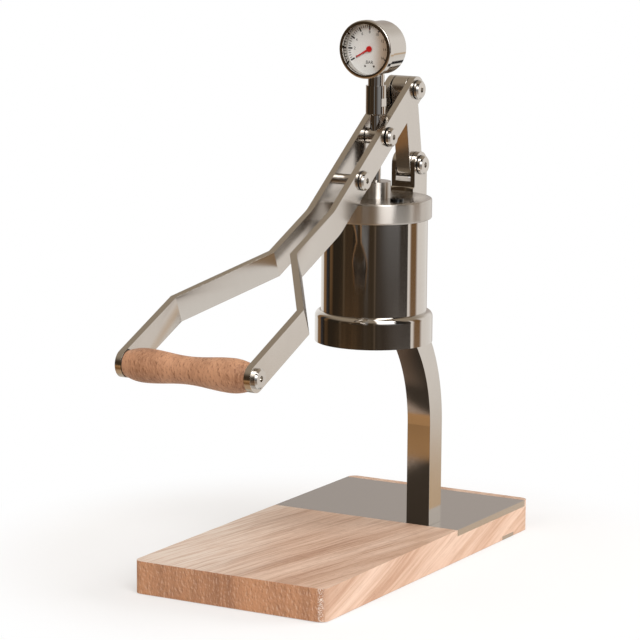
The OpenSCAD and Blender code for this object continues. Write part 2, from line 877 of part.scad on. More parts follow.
// One arm, drawn on the right. Its rear half is flat, and its front half is
// folded twice, out to the grip's end and forward again. It is the side view's
// outline, kept where the folded strip seen from above lies.
module arm() {
  mid_in = (arm_in + arm_out) / 2;
  mid_out = grip_in + arm_t / 2;
  fold_1 = fold_at;
  fold_2 = fold_at + splay_l;
  shift = arm_t / 2 * tan(atan((mid_out - mid_in) / splay_l) / 2);
  reach = bend_at + 2 * arm_w;
  difference() {
    intersection() {
      translate([0, rear_p[0], rear_p[1]])
        rotate([rear_pitch, 0, 0])
          side_plate(0, grip_l) arm_outline();
      translate([machine_x, bend_p[0], bend_p[1]])
        rotate([front_pitch, 0, 0])
          rotate([0, 0, -90])
            translate([0, 0, -bend_at])
              linear_extrude(height = 2 * bend_at)
                polygon([
                  [-reach, arm_in],
                  [fold_1 + shift, arm_in],
                  [fold_2 + shift, grip_in],
                  [grip_run + arm_w, grip_in],
                  [grip_run + arm_w, grip_in + arm_t],
                  [fold_2 - shift, grip_in + arm_t],
                  [fold_1 - shift, arm_out],
                  [-reach, arm_out]
                ]);
    }
    cross_bar(rear_p, axle_d + 2 * seat_fit, arm_in - 1, arm_out + 1);
    cross_bar(crosshead_p, axle_d + 2 * run_fit, arm_in - 1, arm_out + 1);
    cross_bar(spacer_p, bolt_thread_d + 2 * seat_fit, arm_in - 1, arm_out + 1);
    cross_bar(grip_p, bolt_thread_d + 2 * seat_fit, grip_in - 1, grip_in + arm_t + 1);
  }
}

module lever_arm_right() { color("lightgray") arm(); }

module lever_arm_left() {
  color("lightgray")
    translate([machine_x, 0, 0]) mirror([1, 0, 0]) translate([-machine_x, 0, 0]) arm();
}

// Bolt at the lever's rear end. Its head end and its flush end each carry an arm,
// beside the axle in the link.
module lever_end_bolt() {
  color("gainsboro") {
    bright_bolt(rear_p, axle_d, arm_out + washer_t, arm_in);
    cross_bar(rear_p, axle_d, -arm_out, -arm_in);
  }
}

module lever_washers() {
  color("black") {
    bolt_washer(rear_p, axle_d, arm_out);
    bolt_washer(spacer_p, bolt_thread_d, arm_out);
  }
}

module arm_spacer() {
  color("gainsboro")
    difference() {
      cross_bar(spacer_p, axle_d, -arm_in, arm_in);
      cross_bar(spacer_p, bolt_thread_d + 2 * seat_fit, -arm_out, arm_out);
    }
}

module spacer_bolt() {
  color("gainsboro") bright_bolt(spacer_p, bolt_thread_d, arm_out + washer_t, -arm_out);
}

// Turned grip: a waist between two swells, on a rod that joins the arms
function swell(s) = s < swell_at
  ? grip_waist_d + (grip_swell_d - grip_waist_d) * (1 - cos(180 * s / swell_at)) / 2
  : grip_swell_d - (grip_swell_d - grip_end_d) * pow((s - swell_at) / (grip_l / 2 - swell_at), 2);

grip_steps = 24;

module grip() {
  color("peru")
    difference() {
      translate([machine_x, grip_p[0], grip_p[1]])
        rotate([0, 90, 0])
          rotate_extrude()
            polygon(concat(
              [[0, -grip_l / 2]],
              [for (i = [-grip_steps:grip_steps])
                let (z = i / grip_steps * grip_l / 2) [swell(abs(z)) / 2, z]],
              [[0, grip_l / 2]]
            ));
      cross_bar(grip_p, axle_d + 2 * seat_fit, -grip_l, grip_l);
    }
}

// Tube in the grip that keeps the arms apart, and the long bolt through it
module grip_tube() {
  color("gainsboro")
    difference() {
      cross_bar(grip_p, axle_d, -grip_in, grip_in);
      cross_bar(grip_p, bolt_thread_d + 2 * seat_fit, -grip_l, grip_l);
    }
}

module grip_bolt() {
  color("gainsboro") bright_bolt(grip_p, bolt_thread_d, grip_in + arm_t, -grip_in - arm_t);
}

base_board();
base_plate();
base_tie_bar();
board_screws();
post();
post_screws();
group_ring();
brew_cylinder();
shower_screen();
group_gasket();
boiler_body();
boiler_saddle();
saddle_screws();
lid();
lid_seal();
rod_guide();
fill_plug();
fork_bolt();
fork_washer();
piston();
piston_seals();
piston_rod();
crosshead();
crosshead_bolt();
crosshead_washer();
gauge_coupling();
gauge_neck();
gauge_case();
gauge_bezel();
gauge_lens();
gauge_dial();
gauge_tube();
gauge_pointer();
link();
link_bushes();
link_axle();
lever_arm_right();
lever_arm_left();
lever_end_bolt();
lever_washers();
arm_spacer();
spacer_bolt();
grip();
grip_tube();
grip_bolt();
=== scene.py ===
# %% [markdown]
# # A manual lever espresso maker, dressed for its picture
# The exact solids come from a CAD file and stay as they are. This lesson adds what
# they lack: eased edges, steel that shows how it was ground or turned, wood with
# grain and pores, and a printed gauge dial. Everything is in metres, and +Z is up.

# %% The fixed frame
import json
import math
import bpy
import bmesh
from mathutils import Matrix, Vector

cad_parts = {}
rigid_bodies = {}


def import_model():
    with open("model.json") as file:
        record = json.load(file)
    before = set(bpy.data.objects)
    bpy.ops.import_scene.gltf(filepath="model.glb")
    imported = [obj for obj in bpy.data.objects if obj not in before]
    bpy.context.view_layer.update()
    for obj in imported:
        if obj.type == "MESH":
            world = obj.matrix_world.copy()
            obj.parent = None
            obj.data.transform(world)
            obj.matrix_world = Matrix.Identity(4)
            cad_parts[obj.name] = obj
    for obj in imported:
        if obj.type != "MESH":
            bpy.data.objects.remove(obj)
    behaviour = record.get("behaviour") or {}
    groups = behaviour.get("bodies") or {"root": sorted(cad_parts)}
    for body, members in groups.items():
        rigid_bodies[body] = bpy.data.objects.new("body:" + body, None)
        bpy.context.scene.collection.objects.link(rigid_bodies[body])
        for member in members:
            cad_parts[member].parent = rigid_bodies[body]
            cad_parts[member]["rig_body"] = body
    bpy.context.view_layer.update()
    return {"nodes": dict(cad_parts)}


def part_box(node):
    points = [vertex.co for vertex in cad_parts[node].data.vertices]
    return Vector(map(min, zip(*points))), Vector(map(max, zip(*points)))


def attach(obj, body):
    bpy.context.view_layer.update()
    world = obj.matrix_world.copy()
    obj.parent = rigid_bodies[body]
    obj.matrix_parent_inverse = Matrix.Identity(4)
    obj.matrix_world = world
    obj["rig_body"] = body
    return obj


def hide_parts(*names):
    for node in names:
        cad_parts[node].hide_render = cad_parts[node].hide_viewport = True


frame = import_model()
nodes = frame["nodes"]
scene = bpy.context.scene

# %% Two helpers
def put(name, data):
    """Shows some data in the scene as a new object, at the origin."""
    thing = bpy.data.objects.new(name, data)
    scene.collection.objects.link(thing)
    return thing


def mesh_from(work, name):
    """Ends a bmesh: keeps its shape as a mesh and frees it."""
    mesh = bpy.data.meshes.new(name)
    work.to_mesh(mesh)
    work.free()
    return mesh


# %% [markdown]
# ## Camera
# A product picture is taken from far away with a long lens, so that upright edges
# stay nearly parallel. The camera stands to the right and a little above.

# %% Camera
EYE = Vector((1.1651, -2.0836, 0.6122))
TURN, RISE, ROLL = map(math.radians, (29.606, 10.028, 0.428))
SENSOR_MM, LENS_MM = 36.0, 176.4

back = Vector((math.sin(TURN) * math.cos(RISE), -math.cos(TURN) * math.cos(RISE), math.sin(RISE)))
camera = put("camera", bpy.data.cameras.new("camera"))
camera.data.sensor_width = SENSOR_MM
camera.data.lens = LENS_MM
camera.data.clip_start, camera.data.clip_end = 0.05, 60.0
camera.rotation_mode = "QUATERNION"
camera.location = EYE
level = (-back).to_track_quat("-Z", "Y")
camera.rotation_quaternion = level @ Matrix.Rotation(ROLL, 3, "Z").to_quaternion()
scene.camera = camera
scene.view_settings.view_transform = "Standard"
print("camera looks along", [round(v, 3) for v in -back])

# %% [markdown]
# ## Shader arithmetic
# A material is a small program of nodes. Wiring dozens of Math nodes by hand hides
# the idea, so one class wraps a socket and gives it Python's own operators, and
# one method adds any other node. 1 - mask then reads as it would on paper.

# %% Sockets that can be added and multiplied
class Signal:
    """A number that changes over a surface."""

    def __init__(self, recipe, socket):
        self.recipe, self.socket = recipe, socket

    def math(self, operation, *others, clamp=False):
        values = dict(enumerate((self, *others)))
        return self.recipe.add("ShaderNodeMath", {"operation": operation, "use_clamp": clamp}, values)

    def __add__(self, other):
        return self.math("ADD", other)

    def __mul__(self, other):
        return self.math("MULTIPLY", other)

    def __sub__(self, other):
        return self.math("SUBTRACT", other)

    def __rsub__(self, other):
        return (self * -1.0) + other

    def __truediv__(self, other):
        return self.math("DIVIDE", other)

    def __pow__(self, other):
        return self.math("POWER", other)

    __radd__, __rmul__ = __add__, __mul__

    def clamped(self):
        """The same number, held between 0 and 1."""
        return self.math("ADD", 0.0, clamp=True)

    def between(self, low, high):
        """0 below low, 1 above high, and a smooth rise from one to the other."""
        return self.recipe.add(
            "ShaderNodeMapRange", {"interpolation_type": "SMOOTHSTEP"},
            {"Value": self, "From Min": low, "From Max": high},
        )

    def within(self, start, full, fading, gone):
        """A band: it rises from start to full and falls from fading to gone."""
        return self.between(start, full) * (1 - self.between(fading, gone))


class Recipe:
    """A node tree that is filled one line at a time."""

    def __init__(self, owner):
        self.owner = owner
        owner.use_nodes = True
        self.tree = owner.node_tree
        self.tree.nodes.clear()

    def add(self, kind, settings=None, sockets=None, out=0):
        """Any node: its settings by name, its inputs by name or number."""
        node = self.tree.nodes.new(kind)
        for name, value in (settings or {}).items():
            setattr(node, name, value)
        for name, value in (sockets or {}).items():
            if isinstance(value, Signal):
                self.tree.links.new(value.socket, node.inputs[name])
            else:
                node.inputs[name].default_value = value
        return Signal(self, node.outputs[out])

    def axes(self, vector):
        """The x, y and z of a vector."""
        node = self.add("ShaderNodeSeparateXYZ", None, {0: vector}).socket.node
        return [Signal(self, output) for output in node.outputs]

    def ray(self, kind):
        """1 for one kind of ray, such as Camera or Glossy, and 0 for the others."""
        return self.add("ShaderNodeLightPath", out=f"Is {kind} Ray")

    def place(self, scale=(1, 1, 1), shift=(0, 0, 0)):
        """Object coordinates in metres, scaled and moved."""
        point = self.add("ShaderNodeTexCoord", out="Object")
        return self.add("ShaderNodeMapping", None, {
            "Vector": point, "Location": shift, "Scale": scale})

    def normal(self):
        """The x, y and z of the way a face looks."""
        return self.axes(self.add("ShaderNodeNewGeometry", out="Normal"))

    def noise(self, where, scale, detail=2.0, rough=0.5):
        return self.add("ShaderNodeTexNoise", None, {
            "Vector": where, "Scale": scale, "Detail": detail, "Roughness": rough})

    def ramp(self, amount, stops):
        """A colour for each amount from 0 to 1. Each stop is an amount and a colour."""
        signal = self.add("ShaderNodeValToRGB", None, {"Fac": amount})
        elements = signal.socket.node.color_ramp.elements
        while len(elements) < len(stops):
            elements.new(0.5)
        for element, (position, colour) in zip(elements, stops):
            element.position, element.color = position, (*colour, 1.0)
        return signal

    def mix(self, first, second, amount):
        """A colour between two others."""
        sockets = {0: amount, 6: first, 7: second}
        return self.add("ShaderNodeMix", {"data_type": "RGBA"}, sockets, out=2)

    def bump(self, height, strength, depth):
        return self.add("ShaderNodeBump", None, {
            "Height": height, "Strength": strength, "Distance": depth})

    def surface(self, **sockets):
        """Ends the recipe with the standard surface. Underscores stand for spaces."""
        named = {k.replace("_", " "): v for k, v in sockets.items()}
        shader = self.add("ShaderNodeBsdfPrincipled", None, named)
        self.add_output(shader)
        return self.owner

    def add_output(self, shader, kind="ShaderNodeOutputMaterial"):
        end = self.tree.nodes.new(kind)
        self.tree.links.new(shader.socket, end.inputs["Surface"])


def material(name):
    return Recipe(bpy.data.materials.new(name))


def rgb(red, green, blue):
    """A colour as a picture editor names it, 0 to 255, turned to linear light."""
    def linear(c):
        c /= 255.0
        return c / 12.92 if c < 0.04045 else ((c + 0.055) / 1.055) ** 2.4
    return (linear(red), linear(green), linear(blue), 1.0)


WHITE = (1, 1, 1, 1)
print("a mid grey in linear light:", round(rgb(128, 128, 128)[0], 3))

# %% [markdown]
# ## Studio
# Polished steel has hardly a colour of its own: it shows the room. A bright paper
# backdrop behind the object and a dim, warm room on the camera's side give it
# light and dark bands, and soft lamps light the wood. The room is painted as a
# function of direction, so it costs nothing to render.

# %% The room's walls
room = Recipe(bpy.data.worlds.new("studio room"))
scene.world = room.owner
east, north, up = room.axes(room.add("ShaderNodeTexCoord", out="Generated"))
down = up * -1.0
# Compass runs from 0 to 1: 0.25 is in front of the machine, 0.5 on its right
compass = north.math("ARCTAN2", east) / (2 * math.pi) + 0.5
walls = room.ramp(compass, [
    # The dark left side, with two dim brown boards
    (0.00, (0.030, 0.028, 0.028)),
    (0.015, (0.030, 0.026, 0.022)),
    (0.022, (0.190, 0.110, 0.050)),
    (0.042, (0.150, 0.085, 0.040)),
    (0.052, (0.034, 0.025, 0.016)),
    (0.128, (0.034, 0.025, 0.016)),
    (0.138, (0.130, 0.095, 0.060)),
    (0.149, (0.056, 0.036, 0.020)),
    # The dim brown front, with one thin lath
    (0.315, (0.056, 0.038, 0.022)),
    (0.328, (0.070, 0.050, 0.032)),
    (0.334, (0.190, 0.140, 0.095)),
    (0.341, (0.060, 0.046, 0.034)),
    (0.47, (0.058, 0.045, 0.036)),
    (0.543, (0.056, 0.046, 0.038)),
    # A bright slit and a brown post on the right
    (0.547, (1.0, 0.94, 0.88)),
    (0.558, (1.0, 0.94, 0.88)),
    (0.572, (0.230, 0.125, 0.052)),
    (0.612, (0.240, 0.135, 0.060)),
    # The paper backdrop, grey in its middle
    (0.632, (0.98, 0.93, 0.88)),
    (0.755, (0.98, 0.95, 0.91)),
    (0.80, (0.56, 0.50, 0.46)),
    (0.838, (0.46, 0.42, 0.39)),
    (0.852, (1.0, 0.98, 0.95)),
    (0.93, (0.96, 0.94, 0.91)),
    # Its brown wooden edge
    (0.942, (0.300, 0.175, 0.085)),
    (0.972, (0.270, 0.150, 0.070)),
    (0.983, (0.036, 0.036, 0.040)),
])
CEILING = (0.40, 0.33, 0.25, 1)
painted = room.mix(walls, CEILING, up.between(0.25, 0.75))
print("wall stops:", len(walls.socket.node.color_ramp.elements))

# %% The room's floor
# Brown planks in front, pale paper on the right and behind. One scale of colours is
# for a shallow look down and one for a steep look.
shallow = room.ramp(compass, [
    (0.00, (0.13, 0.10, 0.07)), (0.09, (0.22, 0.15, 0.09)), (0.125, (0.70, 0.40, 0.18)),
    (0.215, (0.68, 0.37, 0.16)), (0.28, (0.24, 0.19, 0.14)), (0.40, (0.22, 0.17, 0.13)),
    (0.47, (0.92, 0.87, 0.82)), (0.60, (0.92, 0.87, 0.82)), (0.69, (0.88, 0.84, 0.79)),
    (0.80, (0.80, 0.76, 0.70)), (0.94, (0.40, 0.30, 0.20)),
])
steep = room.ramp(compass, [
    (0.00, (0.10, 0.06, 0.03)), (0.10, (0.30, 0.14, 0.050)), (0.26, (0.30, 0.14, 0.050)),
    (0.42, (0.34, 0.25, 0.18)), (0.48, (0.96, 0.93, 0.89)), (0.72, (0.96, 0.93, 0.89)),
    (0.92, (0.60, 0.52, 0.42)),
])
# Where a look meets the floor one metre below, and the planks' dark grain there
below = down.math("MAXIMUM", 0.02)
spot = room.add("ShaderNodeCombineXYZ", None, {0: east / below, 1: north / below, 2: 0.0})
spot = room.add("ShaderNodeMapping", None, {
    "Vector": spot, "Rotation": (0, 0, math.radians(12)), "Scale": (2.2, 0.10, 1.0)})
grain = room.noise(spot, 1.0, 3.0, 0.65).between(0.40, 0.60) * (1 - compass.between(0.36, 0.42))
planks = grain * down.between(0.158, 0.170) * (0.65 - 0.40 * down.between(0.190, 0.205))
tan_strip = compass.within(0.635, 0.652, 0.675, 0.692) * down.within(0.200, 0.224, 0.25, 0.28)
rails = compass.within(0.708, 0.713, 0.728, 0.733) + compass.within(0.758, 0.763, 0.782, 0.787)
underfoot = down.between(0.55, 0.72) * (1 - compass.between(0.36, 0.46))

# %% A window with a shutter, and the haze around it
haze = compass.within(0.335, 0.42, 0.474, 0.50) * ((up + 0.168) / 0.068).clamped() \
    + compass.within(0.262, 0.276, 0.286, 0.304) * up.between(-0.165, -0.130) * 0.6
window = compass.within(0.338, 0.362, 0.442, 0.452) * up.between(-0.02, 0.40)
shutter = compass.within(0.444, 0.454, 0.510, 0.530) * up.between(-0.06, 0.02)

# %% Everything laid over the walls, in this order
for tint, amount in (
    (shallow, down.between(0.188, 0.206)),
    (steep, down.between(0.26, 0.46)),
    ((0.70, 0.50, 0.31, 1), tan_strip),
    ((0.028, 0.017, 0.009, 1), planks),
    ((0.02, 0.02, 0.02, 1), rails * down.between(0.36, 0.40)),
    ((0.60, 0.42, 0.26, 1), underfoot),
    ((0.33, 0.335, 0.345, 1), haze),
    ((0.97, 0.95, 0.93, 1), window),
    ((0.03, 0.026, 0.022, 1), shutter),
):
    painted = room.mix(painted, tint, amount)
WINDOW_GLOW = 2.8
strength = 1.0 + WINDOW_GLOW * window
lit = room.add("ShaderNodeBackground", None, {"Color": painted, "Strength": strength})
white = room.add("ShaderNodeBackground", None, {"Color": WHITE, "Strength": 1.0})
room.add_output(room.add("ShaderNodeMixShader", None, {0: room.ray("Camera"), 1: lit, 2: white}),
                "ShaderNodeOutputWorld")

# %% Lamps
AIM = Vector((0, 0, 0.22))


def softbox(name, bearing, height, distance, size, power, colour, mirrored=False):
    """A lamp that faces the machine. The bearing turns from +X toward +Y. Unless it is
    mirrored, it lights matt surfaces and leaves no patch on the steel."""
    a, e = math.radians(bearing), math.radians(height)
    way = Vector((math.cos(a) * math.cos(e), math.sin(a) * math.cos(e), math.sin(e)))
    data = bpy.data.lights.new(name, "AREA")
    data.shape, data.size, data.size_y = "RECTANGLE", size[0], size[1]
    data.energy, data.color = power, colour
    lamp = put(name, data)
    lamp.location = AIM + way * distance
    lamp.rotation_mode = "QUATERNION"
    lamp.rotation_quaternion = way.to_track_quat("Z", "Y")
    lamp.visible_glossy = mirrored


softbox("key", -26, 48, 2.2, (0.8, 0.8), 10.0, (1.0, 0.99, 0.98), mirrored=True)
softbox("window", 32, 15, 2.4, (1.3, 1.3), 38.0, (1.0, 0.99, 0.99))
softbox("front", -94, 28, 2.4, (1.2, 1.0), 22.0, (1.0, 0.99, 0.98))

# %% Floor
# A pale round floor that fades to the backdrop's white, so that no edge shows.
# Steel looks through it and shows the room.
FLOOR_RADIUS, FLOOR_HEIGHT, FLOOR_SIDES = 0.5, -0.0006, 64
FADE_START, FADE_END = 0.20, 0.33
# The floor's share of its own light near the machine, and what it gains where it fades
GLOW_NEAR, GLOW_GAIN = 0.45, 0.55


def make_floor():
    turns = [k / FLOOR_SIDES * math.tau for k in range(FLOOR_SIDES)]
    points = [(FLOOR_RADIUS * math.cos(t), FLOOR_RADIUS * math.sin(t), FLOOR_HEIGHT) for t in turns]
    mesh = bpy.data.meshes.new("floor")
    mesh.from_pydata(points, [], [list(range(FLOOR_SIDES))])
    floor = put("floor", mesh)
    m = material("pale floor")
    x, y, _ = m.axes(m.place())
    far = (x * x + y * y).math("SQRT").between(FADE_START, FADE_END)
    matt = m.add("ShaderNodeBsdfDiffuse", None, {"Color": (0.86, 0.87, 0.89, 1)})
    glow = m.add("ShaderNodeEmission", None, {"Color": WHITE, "Strength": 1.0})
    open_air = m.add("ShaderNodeBsdfTransparent", None, {"Color": WHITE})
    own = m.ray("Camera") * (GLOW_NEAR + GLOW_GAIN * far)
    lit = m.add("ShaderNodeMixShader", None, {0: own, 1: matt, 2: glow})
    m.add_output(m.add("ShaderNodeMixShader", None, {0: m.ray("Glossy"), 1: lit, 2: open_air}))
    mesh.materials.append(m.owner)


make_floor()

# %% [markdown]
# ## Steel
# All the steel here is one alloy with different last steps. A bar that was ground
# along its length keeps hair-fine lines that way. A part from the lathe has rings,
# so its lines run round its axis. Polishing leaves almost nothing: faint smears
# in the gloss. Each recipe stretches a noise along the tool's path.

# %% Steel recipes
STEEL = (0.62, 0.59, 0.555, 1.0)


def darker(colour, share):
    return tuple(c * share for c in colour[:3]) + (1,)


def steel(name, gloss, lines=(1, 1, 1), line_depth=0.0, colour=STEEL,
          smear=0.05, streak=0.0, top_gloss=None):
    """gloss, the roughness, is smallest on a mirror. lines is how tightly the grain is
    packed along x, y and z, per metre. streak draws highlights out along an upright
    axis, as rings from a lathe do. top_gloss is for faces that look up."""
    m = material(name)
    hand = m.noise(m.place(), 22.0, 4.0, 0.6)
    grain = m.noise(m.place(scale=lines), 1.0, 3.0, 0.6)
    speck = m.noise(m.place(), 900.0, 2.0)
    tone = m.mix(colour, darker(colour, 0.88), grain * 0.6 + speck * 0.3)
    rough = gloss + smear * (hand - 0.5) + 0.06 * line_depth * grain
    if top_gloss is not None:
        looks_up = m.normal()[2].between(0.7, 0.95)
        rough = rough + (top_gloss - gloss) * looks_up
    height = grain * line_depth + speck * 0.08
    return m.surface(Base_Color=tone, Metallic=1.0, Roughness=rough.math("MAXIMUM", 0.02),
                     Anisotropic=streak, Anisotropic_Rotation=0.25,
                     Normal=m.bump(height, 0.35, 0.00003))


polished = steel("polished steel", 0.07)
# Bars are ground lengthways, which is in the machine's middle plane
ground_bar = steel("ground steel bar", 0.18, (2400, 60, 60), 0.20)
ground_plate = steel("ground steel plate", 0.15, (60, 2600, 2600), 0.20)
post_steel = steel("polished steel bar", 0.10, (2400, 60, 60), 0.06)
turned_up = steel("turned steel", 0.35, (40, 40, 3200), 0.05, smear=0.02, streak=1.0, top_gloss=0.17)
turned_across = steel("cross bar steel", 0.24, (3200, 40, 40), 0.25)
mirror_tube = steel("polished tube", 0.068, (30, 30, 900), 0.02, smear=0.02, streak=0.72)
bolt_steel = steel("bright bolt steel", 0.10, smear=0.08)
dark_screw = steel("oiled screw steel", 0.32, colour=(0.20, 0.19, 0.18, 1))
plug_steel = steel("dark plug steel", 0.16, colour=(0.045, 0.05, 0.055, 1))
print("steel finishes:", [m.name for m in bpy.data.materials if "steel" in m.name or "tube" in m.name])

# %% [markdown]
# ## Wood
# The board is pale, open-grained wood. Three things are seen: broad bands where
# the growth rings are cut, fine fibres along the plank, and short dark pores. The
# same rings show as streaks on top, slanting streaks on the long sides, and
# upright mottled bars on the sawn ends, so the direction follows the face.

# %% Wood recipes
UNLIT = (0.030, 0.024, 0.018, 1)


def wood(name, across, pale, brown, shade, sawn_tone, relief, painted_sheen=None, painted_glint=None, pitted=0.0):
    """across gives the signals that count rings and run along the grain. painted_sheen is the colour
    of a painted sheen on the top near the left front corner, and painted_glint that of painted
    highlights on the upright corners at the right of the sawn ends. pitted wood looks sawn all over."""
    m = material(name)
    x, y, z = m.axes(m.place())
    right, ahead, _ = m.normal()
    side = right.math("ABSOLUTE").between(0.5, 0.8)
    end = ahead.math("ABSOLUTE").between(0.5, 0.8).math("MAXIMUM", pitted)
    u, v = across(x, y, z, side, end)

    def streaks(ring_scale, grain_scale, seed, detail):
        at = m.add("ShaderNodeCombineXYZ", None, {0: ring * ring_scale, 1: v * grain_scale, 2: seed})
        return m.noise(at, 1.0, detail, 0.6)

    drift = m.noise(m.place(scale=(1, 0.35, 1)), 16.0, 3.0, 0.55)
    ring = u + 0.012 * (drift - 0.5)
    band = streaks(42.0, 2.2, 0.0, 3.0)
    line = streaks(420.0, 12.0, 3.0, 4.0)
    fibre = streaks(950.0, 110.0, 7.0, 3.0)
    pore = streaks(1500.0, 90.0, 9.0, 1.0).between(0.60, 0.72)
    base = m.mix(pale, brown, (band * 0.70 + line * 0.50).between(0.40, 0.80))
    dark_lines = pore * 0.35 + line.between(0.50, 0.72) * 0.34 \
        + band.between(0.54, 0.72) * 0.26 + fibre.between(0.52, 0.70) * 0.18
    toned = m.mix(base, shade, dark_lines * (1 - 0.62 * side))
    if painted_sheen is not None:
        # Painted sheen: near the left front corner the top is paler, with silvery fibres, as where
        # light glances off it
        sheen_mask = (x * -1.0 - 0.35 * y + 0.03 * drift).between(0.030, 0.115) * (1 - side)
        toned = m.mix(toned, painted_sheen, sheen_mask * (0.30 + 0.65 * (1 - line.between(0.42, 0.56))))
    # Sawn ends: a mottled tone, and pits that the saw left. One noise is taken twice, a little apart,
    # and their difference paints shade on one side of each pit and a highlight on the other, as if
    # light fell across them
    rippled = m.noise(m.place(scale=(1, 1, 0.5)), 440.0, 2.5, 0.6)
    painted_relief_noise = m.noise(m.place(scale=(1, 1, 0.5), shift=(0.0006, 0, 0.0003)), 440.0, 2.5, 0.6)
    broad = m.noise(m.place(scale=(1, 1, 0.10)), 40.0, 3.0, 0.65)
    sawn = m.mix(sawn_tone, shade, (broad * 0.85 + rippled * 0.22).between(0.40, 0.80) * 0.85)
    sawn = m.mix(sawn, shade, (rippled - painted_relief_noise).between(0.02, 0.20) * 0.72)
    sawn = m.mix(sawn, pale, (painted_relief_noise - rippled).between(0.02, 0.20) * 0.55)
    toned = m.mix(toned, sawn, end)
    if painted_glint is not None:
        # Painted highlights: pale specks on the upright corners at the right, where light catches the
        # rough end grain
        glint_specks = m.noise(m.place(), 1000.0, 3.0, 0.7).between(0.48, 0.60)
        toned = m.mix(toned, painted_glint, glint_specks * right.within(0.08, 0.28, 0.55, 0.85) * end * 0.85)
    # Steel shows the wood dim, as if unlit, but less so along the board's left edge and
    # near the plate
    dim = 0.30 + 0.68 * x.between(-0.067, -0.047)
    dim = dim - 0.22 * (1 - x.between(-0.036, -0.016)) * y.between(-0.075, -0.045)
    toned = m.mix(toned, UNLIT, dim * m.ray("Glossy"))
    height = (line * 0.5 + fibre * 0.8 - pore * 0.4) * (1 - end) + rippled * 3.0 * end
    return m.surface(Base_Color=toned, Roughness=0.36 + 0.20 * fibre,
                     Normal=m.bump(height, 1.0, relief))


def board_rings(x, y, z, side, end):
    on_top = x - 0.16 * y
    on_side = z - 0.35 * y
    flat = on_top * (1 - side) + on_side * side
    u = flat * (1 - end) + (x + 0.06 * z) * end
    v = y * (1 - end) + z * end
    return u, v


def grip_rings(x, y, z, side, end):
    return z * 0.8 + y * 0.6, x


board_wood = wood("board wood", board_rings, pale=rgb(218, 190, 170), brown=rgb(186, 148, 122),
                  shade=rgb(136, 96, 72), sawn_tone=rgb(191, 139, 102), relief=0.00030,
                  painted_sheen=rgb(222, 208, 196), painted_glint=(0.84, 0.78, 0.72, 1))
grip_wood = wood("grip wood", grip_rings, pale=rgb(200, 156, 124), brown=rgb(172, 126, 94),
                 shade=rgb(112, 72, 48), sawn_tone=rgb(196, 148, 116), relief=0.00020, pitted=1.0)

# %% [markdown]
# ## Rubber, plastic, glass and paint
# Small parts, but each has its own shine: rubber is dull and slightly grey,
# washers are a harder black, the lens is clear with a sharp reflection, and the
# dial is printed on white enamel.

# %% The other finishes
def plain(name, colour, rough, grit, depth, coat=0.0):
    """grit is how many specks fit in a metre, and depth is how deep they are."""
    m = material(name)
    fine = m.noise(m.place(), grit, 3.0)
    broad = m.noise(m.place(), 60.0, 2.0)
    tone = m.mix(colour, darker(colour, 0.8), broad.between(0.35, 0.7) * 0.7 + fine * 0.2)
    return m.surface(Base_Color=tone, Roughness=rough + 0.1 * (fine - 0.5), Coat_Weight=coat,
                     Normal=m.bump(fine, 0.3, depth))


black_plastic = plain("black washer plastic", rgb(22, 21, 21), 0.42, 2500.0, 0.00002)
black_rubber = plain("seal rubber", rgb(28, 27, 26), 0.62, 1800.0, 0.00003)
red_paint = plain("pointer paint", rgb(214, 32, 34), 0.34, 2500.0, 0.00001, coat=0.2)
ink = plain("dial ink", rgb(20, 20, 22), 0.5, 2500.0, 0.000005)
red_ink = plain("red dial ink", rgb(176, 22, 26), 0.5, 2500.0, 0.000005)
bronze = steel("bronze", 0.28, (900, 900, 900), 0.2, colour=(0.60, 0.38, 0.19, 1))


def aged_enamel():
    """White enamel with painted shade toward the right, from x = 47.5 mm on."""
    m = material("dial enamel")
    x = m.axes(m.place())[0]
    cloud = m.noise(m.place(), 90.0, 3.0)
    # Painted shade: the dial's right side is mixed toward a warm brown
    shaded_right = (x + 0.006 * (cloud - 0.5)).between(0.0475, 0.0600)
    tone = m.mix(rgb(246, 245, 243), rgb(204, 182, 160), shaded_right)
    fine = m.noise(m.place(), 1500.0, 3.0)
    return m.surface(Base_Color=tone, Roughness=0.36 + 0.06 * fine, Coat_Weight=0.1,
                     Normal=m.bump(fine, 0.3, 0.000008))


def lens_glass():
    """Clear glass that mirrors 3 % face on and all at a grazing look."""
    m = material("lens glass")
    dust = m.noise(m.place(), 300.0, 3.0).between(0.62, 0.8)
    slant = m.add("ShaderNodeLayerWeight", None, {"Blend": 0.5}, out="Facing")
    edge = 0.03 + 0.97 * slant ** 5
    clear = m.add("ShaderNodeBsdfTransparent", None, {"Color": (0.98, 0.985, 0.985, 1)})
    shine = m.add("ShaderNodeBsdfPrincipled", None, {
        "Base Color": WHITE, "Metallic": 1.0, "Roughness": 0.02 + 0.05 * dust})
    m.add_output(m.add("ShaderNodeMixShader", None, {0: edge, 1: clear, 2: shine}))
    return m.owner


dial_paint = aged_enamel()
glass = lens_glass()

# %% [markdown]
# ## Which node gets which finish

